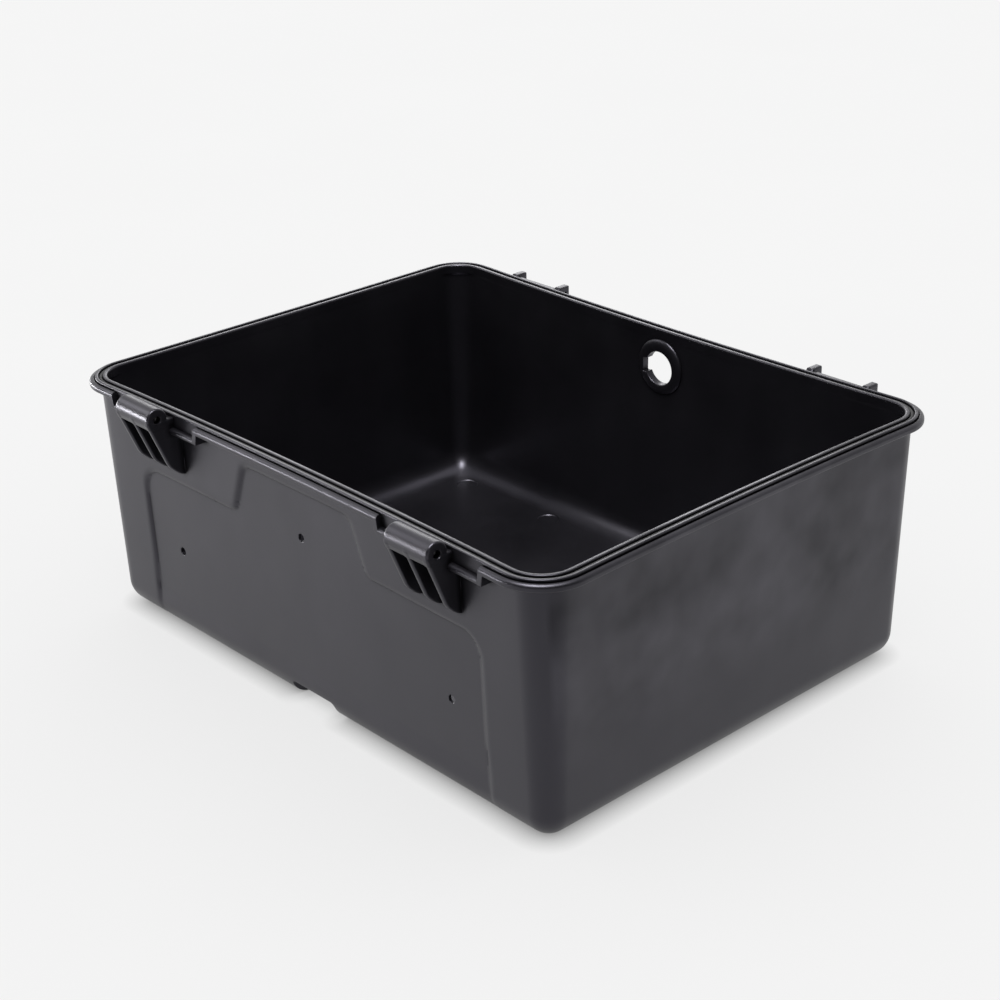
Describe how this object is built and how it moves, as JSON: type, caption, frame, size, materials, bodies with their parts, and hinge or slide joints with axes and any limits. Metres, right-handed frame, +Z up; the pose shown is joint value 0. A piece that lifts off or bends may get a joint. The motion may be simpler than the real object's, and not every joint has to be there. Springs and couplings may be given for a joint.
{
  "type": "attached lid tote base",
  "caption": "Open moulded plastic tote base with a double-ridged rim, hinge knuckles for a lid, rear catch ears and a keyed cable port.",
  "frame": {"origin": "middle of the flat underside, on the ground plane", "axes": "+X along the long side, +Y from the hinge knuckle side to the catch ear side, +Z up out of the mouth"},
  "size_m": [0.528, 0.434, 0.2076],
  "materials": {
    "tub": "satin black moulded polypropylene with a fine grain",
    "seal": "dull black rubber cord",
    "pin": "drawn steel rod"
  },
  "bodies": {
    "tub": {"tub_shell": "tub", "rim_seal": "seal"},
    "left_pin": {"hinge_pin_left": "pin"},
    "right_pin": {"hinge_pin_right": "pin"}
  },
  "joints": [
    {"name": "left_pin_draw", "type": "slide", "parent": "tub", "child": "left_pin", "axis": [-1, 0, 0], "range_m": [0, 0.045]},
    {"name": "right_pin_draw", "type": "slide", "parent": "tub", "child": "right_pin", "axis": [1, 0, 0], "range_m": [0, 0.045]}
  ]
}
